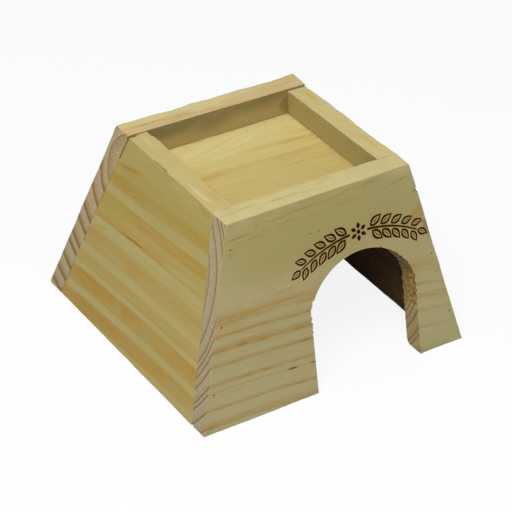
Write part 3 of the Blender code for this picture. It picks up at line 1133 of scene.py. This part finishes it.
def studio_floor(name):
    """Pale paper: near white to the camera and in reflections, mid-grey to the light it sends up."""
    material, tree, _ = new_material(name)
    tree.nodes.clear()
    paper_share = 0.12
    grey = add_node(tree, "ShaderNodeBsdfDiffuse", {"Color": (0.12, 0.12, 0.12, 1.0)})
    pale = add_node(tree, "ShaderNodeBsdfDiffuse", {"Color": (0.8, 0.8, 0.8, 1.0)})
    glow = add_node(tree, "ShaderNodeEmission", {"Color": (1.0, 1.0, 1.0, 1.0), "Strength": 1.0})
    seen = add_node(tree, "ShaderNodeMixShader", {0: paper_share, 1: glow, 2: pale})
    rays = add_node(tree, "ShaderNodeLightPath")
    sockets = {0: rays.outputs["Is Camera Ray"], 1: rays.outputs["Is Glossy Ray"]}
    looks = add_node(tree, "ShaderNodeMath", sockets, operation="MAXIMUM")
    sockets = {0: looks, 1: rays.outputs["Is Transmission Ray"]}
    looks = add_node(tree, "ShaderNodeMath", sockets, operation="MAXIMUM")
    surface = add_node(tree, "ShaderNodeMixShader", {0: looks, 1: grey, 2: seen})
    add_node(tree, "ShaderNodeOutputMaterial", {"Surface": surface})
    return material


# The room


def lay_floor():
    """The studio's floor, which is no part of the house."""
    bpy.ops.mesh.primitive_plane_add(size=8.0)
    floor = bpy.context.object
    floor.name = "studio_floor"
    floor.data.materials.append(studio_floor("pale_paper"))


def light_world(strength):
    """A dim even sky, which is white where the camera sees it."""
    world = bpy.data.worlds.new("studio")
    world.use_nodes = True
    bpy.context.scene.world = world
    tree = world.node_tree
    tree.nodes.clear()
    sky = {"Color": (1.0, 1.0, 1.0, 1.0), "Strength": strength}
    white = {"Color": (1.0, 1.0, 1.0, 1.0), "Strength": 1.0}
    even = add_node(tree, "ShaderNodeBackground", sky)
    seen = add_node(tree, "ShaderNodeBackground", white)
    rays = add_node(tree, "ShaderNodeLightPath")
    sockets = {0: rays.outputs["Is Camera Ray"], 1: even, 2: seen}
    surface = add_node(tree, "ShaderNodeMixShader", sockets)
    add_node(tree, "ShaderNodeOutputWorld", {"Surface": surface})


def hang_lamp(name, bearing, height, distance, size, power):
    """A square soft lamp that looks at the house from a bearing and a height in degrees."""
    lamp = bpy.data.lights.new(name, "AREA")
    lamp.shape = "SQUARE"
    lamp.size = size
    lamp.energy = power
    turn = Euler((math.radians(90.0 - height), 0.0, math.radians(bearing))).to_matrix().to_4x4()
    hung = bpy.data.objects.new(name, lamp)
    target = Matrix.Translation(UP * HEIGHT / 2)
    hung.matrix_world = target @ turn @ Matrix.Translation(UP * distance)
    bpy.context.scene.collection.objects.link(hung)


def set_up_camera():
    """A long lens from the front left and above, fitted to the house's edges in the photograph."""
    target = Matrix.Translation(Vector((0.0, 0.0, 38.7)) * MM)
    bearing, height, roll = (math.radians(angle) for angle in (-35.116, 34.523, 2.705))
    distance = 1284.5 * MM
    lens = bpy.data.cameras.new("view")
    lens.lens = 153.64
    lens.sensor_width = 36.0
    turn = Matrix.Rotation(bearing, 4, "Z") @ Matrix.Rotation(math.radians(90.0) - height, 4, "X")
    upright = Matrix.Rotation(roll, 4, "Z")
    camera = bpy.data.objects.new("view", lens)
    camera.matrix_world = target @ turn @ upright @ Matrix.Translation(UP * distance)
    bpy.context.scene.collection.objects.link(camera)
    bpy.context.scene.camera = camera


# The house, put together

# Short dark fibres on the outer faces and in the tray, as ovals in millimetres in the board's frame:
# place along and up the board, half length, half width, tilt in degrees and tone
MARKS = {
    "front": (
        (-55.0, 62.6, 5.5, 0.55, -3.0, 0.22), (-62.0, 56.9, 4.0, 0.5, -3.0, 0.18),
        (-46.0, 26.6, 5.0, 0.7, -4.0, 0.22), (-28.5, 21.5, 4.2, 1.1, -5.0, 0.85),
        (-15.0, 20.6, 2.6, 0.8, -5.0, 0.8), (-50.0, 20.0, 3.5, 0.4, -4.0, 0.25),
        (-78.0, 16.4, 4.0, 0.5, -3.0, 0.20), (-36.0, 13.6, 4.5, 0.5, -5.0, 0.20),
        (-45.0, 54.0, 3.0, 0.4, -3.0, 0.18), (-60.0, 46.8, 5.0, 0.4, -3.0, 0.10),
        (-26.0, 46.0, 6.0, 0.5, -4.0, 0.14), (-35.0, 36.5, 6.0, 0.5, -4.0, 0.14),
        (-72.0, 30.6, 4.0, 0.4, -3.0, 0.20), (-20.0, 60.0, 4.0, 0.4, -3.0, 0.18),
        (-58.0, 28.6, 4.0, 0.4, -3.0, 0.15), (-62.0, 5.4, 5.0, 0.5, -3.0, 0.18),
    ),
    "left": (
        (-35.0, 103.6, 18.0, 1.9, 11.0, 0.42), (-51.0, 57.6, 8.5, 1.0, 14.0, 0.30),
        (-18.0, 66.4, 18.0, 0.9, 6.5, 0.40), (-32.0, 63.6, 8.0, 0.6, 4.0, 0.2),
    ),
    "tray": ((26.0, 25.4, 32.0, 2.8, -4.6, 0.26), (18.0, 11.4, 10.0, 0.9, -4.0, 0.15)),
}

# Colour patches that the rings don't give, some of them stains and streaks and some painted light and
# shade, as said at each: the plane, the colour, and ovals like those above.
# On a top the place is along and into the board. The last number is how strong the colour gets.
PATCHES = {
    "front": (
        ("outer", "a0944f", ((0.0, 100.0, 110.0, 34.0, 0.0, 0.55),)),
        ("outer", "c0ba8c", ((76.0, 20.0, 28.0, 60.0, 0.0, 0.4), (-50.0, 8.0, 60.0, 20.0, 0.0, 0.25))),
        ("top", "b8ac7a", ((0.0, 6.0, 180.0, 40.0, 0.0, 0.8),)),
        ("top", "ae8d4c", (
            (-48.0, 8.0, 17.0, 0.8, 1.5, 0.75), (-20.0, 6.7, 17.0, 0.8, -1.0, 0.75),
            (-4.0, 5.5, 7.0, 0.6, 0.0, 0.6), (-51.0, 10.4, 8.0, 0.7, 4.0, 0.45),
            (5.5, 8.6, 4.0, 0.7, 0.0, 0.7), (11.0, 11.0, 7.0, 0.7, -3.0, 0.65),
            (47.0, 9.0, 1.6, 0.5, 0.0, 0.6), (51.0, 7.0, 1.8, 0.5, 0.0, 0.6),
            (57.0, 8.0, 1.6, 0.5, 0.0, 0.6), (44.0, 4.0, 2.0, 0.5, 0.0, 0.5),
        )),
        ("outer", "a88242", (
            (-55.0, 109.0, 12.0, 0.9, 2.0, 0.7), (-61.0, 101.2, 5.0, 0.6, 0.0, 0.5),
            (-60.0, 99.8, 3.0, 0.5, 0.0, 0.5), (-43.0, 111.8, 2.4, 1.6, 30.0, 0.35),
            (-29.0, 112.0, 9.0, 0.7, 0.0, 0.65), (-12.0, 113.2, 16.0, 0.8, 0.0, 0.6),
            (9.0, 113.8, 12.0, 0.7, 4.0, 0.6), (20.0, 115.2, 7.0, 0.5, 5.0, 0.4),
            (-24.0, 108.6, 9.0, 0.6, 0.0, 0.6), (-44.0, 106.4, 12.0, 0.5, 2.0, 0.45),
            (17.0, 108.6, 12.0, 0.5, 4.0, 0.45), (-6.0, 107.2, 9.0, 0.5, 0.0, 0.35),
            (30.0, 112.2, 2.2, 0.6, 0.0, 0.6), (36.0, 111.6, 1.4, 0.5, 0.0, 0.5),
            (53.0, 110.8, 9.0, 0.7, 9.0, 0.65), (-30.0, 69.2, 12.0, 0.5, 3.0, 0.5),
        )),
        ("outer", "a9853e", ((67.0, 89.0, 15.0, 6.0, 30.0, 0.5), (62.0, 84.5, 9.0, 2.0, 12.0, 0.35))),
        ("outer", "6d5428", (
            (70.5, 77.0, 3.0, 8.0, 12.0, 0.42), (68.0, 81.5, 6.0, 1.2, -4.0, 0.5),
            (70.5, 74.5, 3.0, 1.2, 0.0, 0.4),
        )),
    ),
    "left": (
        ("outer", "a6984f", ((0.0, 112.0, 130.0, 40.0, 0.0, 0.42),)),
        ("outer", "b5a355", ((-42.0, 74.0, 30.0, 10.0, 5.0, 0.65), (-66.0, 18.0, 16.0, 7.0, 5.0, 0.4))),
        ("outer", "b9ae70", ((34.0, 71.6, 26.0, 2.6, 5.5, 0.8),)),
        ("top", "b0a16b", ((0.0, 6.0, 180.0, 40.0, 0.0, 0.85),)),
        ("top", "b3964f", ((32.0, 9.3, 15.0, 1.3, 0.0, 0.6), (-30.0, 3.4, 14.0, 0.7, 0.0, 0.3))),
        ("top", "cabf8c", ((26.0, 4.2, 16.0, 2.2, 0.0, 0.45), (-36.0, 7.0, 9.0, 2.0, 0.0, 0.3))),
    ),
    "right": (
        # Painted shade: the right board's inner face over the tray is darker, and darker still in the
        # tray's front corner
        ("inner", "b8ab76", ((0.0, 108.0, 180.0, 90.0, 0.0, 0.9),)),
        ("inner", "a99a6e", ((-46.0, 112.0, 14.0, 20.0, 0.0, 0.6),)),
        ("top", "bcaf7b", ((0.0, 6.0, 180.0, 40.0, 0.0, 0.85),)),
        ("top", "bfa048", (
            (-37.0, 11.2, 9.0, 1.0, 0.0, 0.6), (32.0, 4.6, 9.0, 2.4, 0.0, 0.8),
            (-27.0, 5.0, 16.0, 2.0, 3.0, 0.55), (33.0, 11.6, 13.0, 1.2, 0.0, 0.55),
            (-2.0, 4.6, 11.0, 1.6, 4.0, 0.4), (17.0, 9.4, 7.0, 1.6, 9.0, 0.6),
            (6.0, 8.0, 9.0, 1.0, 14.0, 0.55), (-8.0, 9.4, 10.0, 1.1, 12.0, 0.5),
            (-18.0, 9.0, 7.0, 1.2, 10.0, 0.5), (22.0, 5.6, 4.0, 1.2, 30.0, 0.5),
        )),
    ),
    "back": (
        # Darker over the upper part of the back wall's inner face, over the tray
        ("inner", "92875f", (
            (28.0, 121.0, 34.0, 14.0, 0.0, 0.9), (2.0, 120.0, 24.0, 19.0, 0.0, 0.85),
            (-26.0, 122.5, 40.0, 15.0, 0.0, 0.8),
        )),
        # Painted shadow, cast by the right board into the tray's back right corner
        ("inner", "85714a", ((-49.5, 110.5, 5.5, 8.0, 12.0, 0.6), (-52.0, 106.5, 4.5, 7.0, 20.0, 0.5))),
        ("top", "c2a97a", (
            (48.0, 11.5, 22.0, 6.5, 0.0, 0.6), (14.0, 12.5, 24.0, 4.0, 0.0, 0.6),
            (-34.0, 10.0, 34.0, 8.5, 2.0, 0.75), (-56.0, 8.0, 12.0, 6.0, 0.0, 0.7),
        )),
        ("top", "c8be8a", ((8.0, 2.0, 80.0, 5.0, 0.0, 0.6), (4.0, 6.0, 16.0, 6.0, 0.0, 0.5))),
        ("top", "b08d4e", (
            (46.0, 6.2, 20.0, 1.0, -1.0, 0.8), (22.0, 8.4, 15.0, 1.0, -4.0, 0.75),
            (6.0, 9.4, 10.0, 0.8, 0.0, 0.6), (-52.0, 6.2, 10.0, 0.8, 2.0, 0.6),
        )),
    ),
    "tray": (
        # Painted light over the back of the tray's floor, and painted shadow of the front board over
        # its front
        ("outer", "cbc28f", ((5.0, 50.0, 100.0, 36.0, 0.0, 0.5),)),
        ("outer", "b0a06a", ((15.0, -28.0, 120.0, 56.0, 0.0, 0.45),)),
    ),
}


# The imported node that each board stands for, and that node's material slot
PACKED_BOARDS = {
    "front": ("front_board", "front_pine"),
    "back": ("back_board", "back_pine"),
    "left": ("left_board", "side_pine"),
    "right": ("right_board", "side_pine"),
    "tray": ("tray_panel", "tray_pine"),
}


def choose_pine():
    """The planed pine of each board."""
    grains = {
        "front": FRONT_GRAIN,
        "left": LEFT_GRAIN,
        "right": RIGHT_GRAIN,
        "back": BACK_GRAIN,
        "tray": TRAY_GRAIN,
    }
    pine = {}
    for name, grain in grains.items():
        marks, patches = MARKS.get(name, ()), PATCHES[name]
        pine[name] = planed_pine(f"planed_pine_{name}", name, grain, marks, patches)
    return pine


def saw_walls(pine):
    """The four walls. Their tops are a little out of level, and two feet are rounded by wear."""
    level = (UP * HEIGHT, UP)
    back_top = plane_through((-60.0, 0.0, 116.3), (60.0, 0.0, 115.0), (60.0, 80.0, 115.0))
    left_top = plane_through((0.0, 45.0, 115.8), (0.0, -45.0, 115.0), (10.0, 45.0, 115.8))
    right_top = plane_through((48.0, 45.0, 114.0), (61.0, 45.0, 113.5), (55.0, -45.0, 115.0))
    flush_ends = (wall_plane("left", 0.0), wall_plane("right", 0.0))
    butted_ends = (wall_plane("front", BOARD + JOINT), wall_plane("back", BOARD + JOINT))
    return {
        "front": saw_board("front", level, flush_ends, pine["front"], FRONT_FOOT_ROUND, BOARD),
        "back": saw_board("back", back_top, flush_ends, pine["back"], BACK_FOOT_ROUND, 0.0),
        "left": saw_board("left", left_top, butted_ends, pine["left"]),
        "right": saw_board("right", right_top, butted_ends, pine["right"]),
    }


def open_up(wall, board, doorway_pine, steel):
    """Cuts a wall's pockets, nicks and doorway, and gives its brads their finish."""
    wood = board.data.materials[0]
    brads = [brad for node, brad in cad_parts.items() if node.startswith(wall) and "brad" in node]
    tools = [make_pocket_tool(brad, wall, wood) for brad in brads]
    if wall == "front":
        tools.append(make_doorway_tool(doorway_pine))
    if wall in NICKS:
        ragged = torn_pine(f"torn_pine_{wall}", wall)
        tools += [make_chip_tool(board_frame(wall), *nick, ragged) for nick in NICKS[wall]]
    cut_away(board, tools)
    for brad in brads:
        brad.data.materials.clear()
        brad.data.materials.append(steel)


def build_house():
    """The five boards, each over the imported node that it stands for."""
    pine = choose_pine()
    steel = coated_wire("coated_brad_wire")
    walls = saw_walls(pine)
    tray = saw_tray_panel(pine["tray"])

    # The doorway's sides: end grain coloured with painted shade, and mottled above TORN_ABOVE where the
    # saw tore
    doorway_pine = planed_pine("doorway_pine_torn_and_painted_shade", "front", DOORWAY_GRAIN_PAINTED_SHADE, torn_above=TORN_ABOVE)
    for wall, board in walls.items():
        open_up(wall, board, doorway_pine, steel)

    scorch = burnt_pine("scorched_pine", "front", "80551f", "9c752f", 0.7)
    char = burnt_pine("charred_pine", "front", "170d05", "2f1d0c", 0.8)
    cut_away(walls["front"], make_burning_tools(SCORCH_SPREAD, SCORCH_DEPTH, scorch))
    cut_away(walls["front"], make_burning_tools(0.0, CHAR_DEPTH, char))

    for wall, board in walls.items():
        # The faces that look into the den get the dark painted shade
        paint_den_shade(board, wall, sawn_pine_painted_shade(f"rough_sawn_pine_{wall}", wall))
    for name, board in (walls | {"tray": tray}).items():
        node, slot = PACKED_BOARDS[name]
        smooth(board)
        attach(board, "root")
        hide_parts(node)


bpy.context.scene.view_settings.view_transform = "Standard"
set_up_camera()
lay_floor()
light_world(strength=0.3)
hang_lamp("overhead", bearing=-46.0, height=60.0, distance=1.2, size=0.8, power=16.0)
build_house()
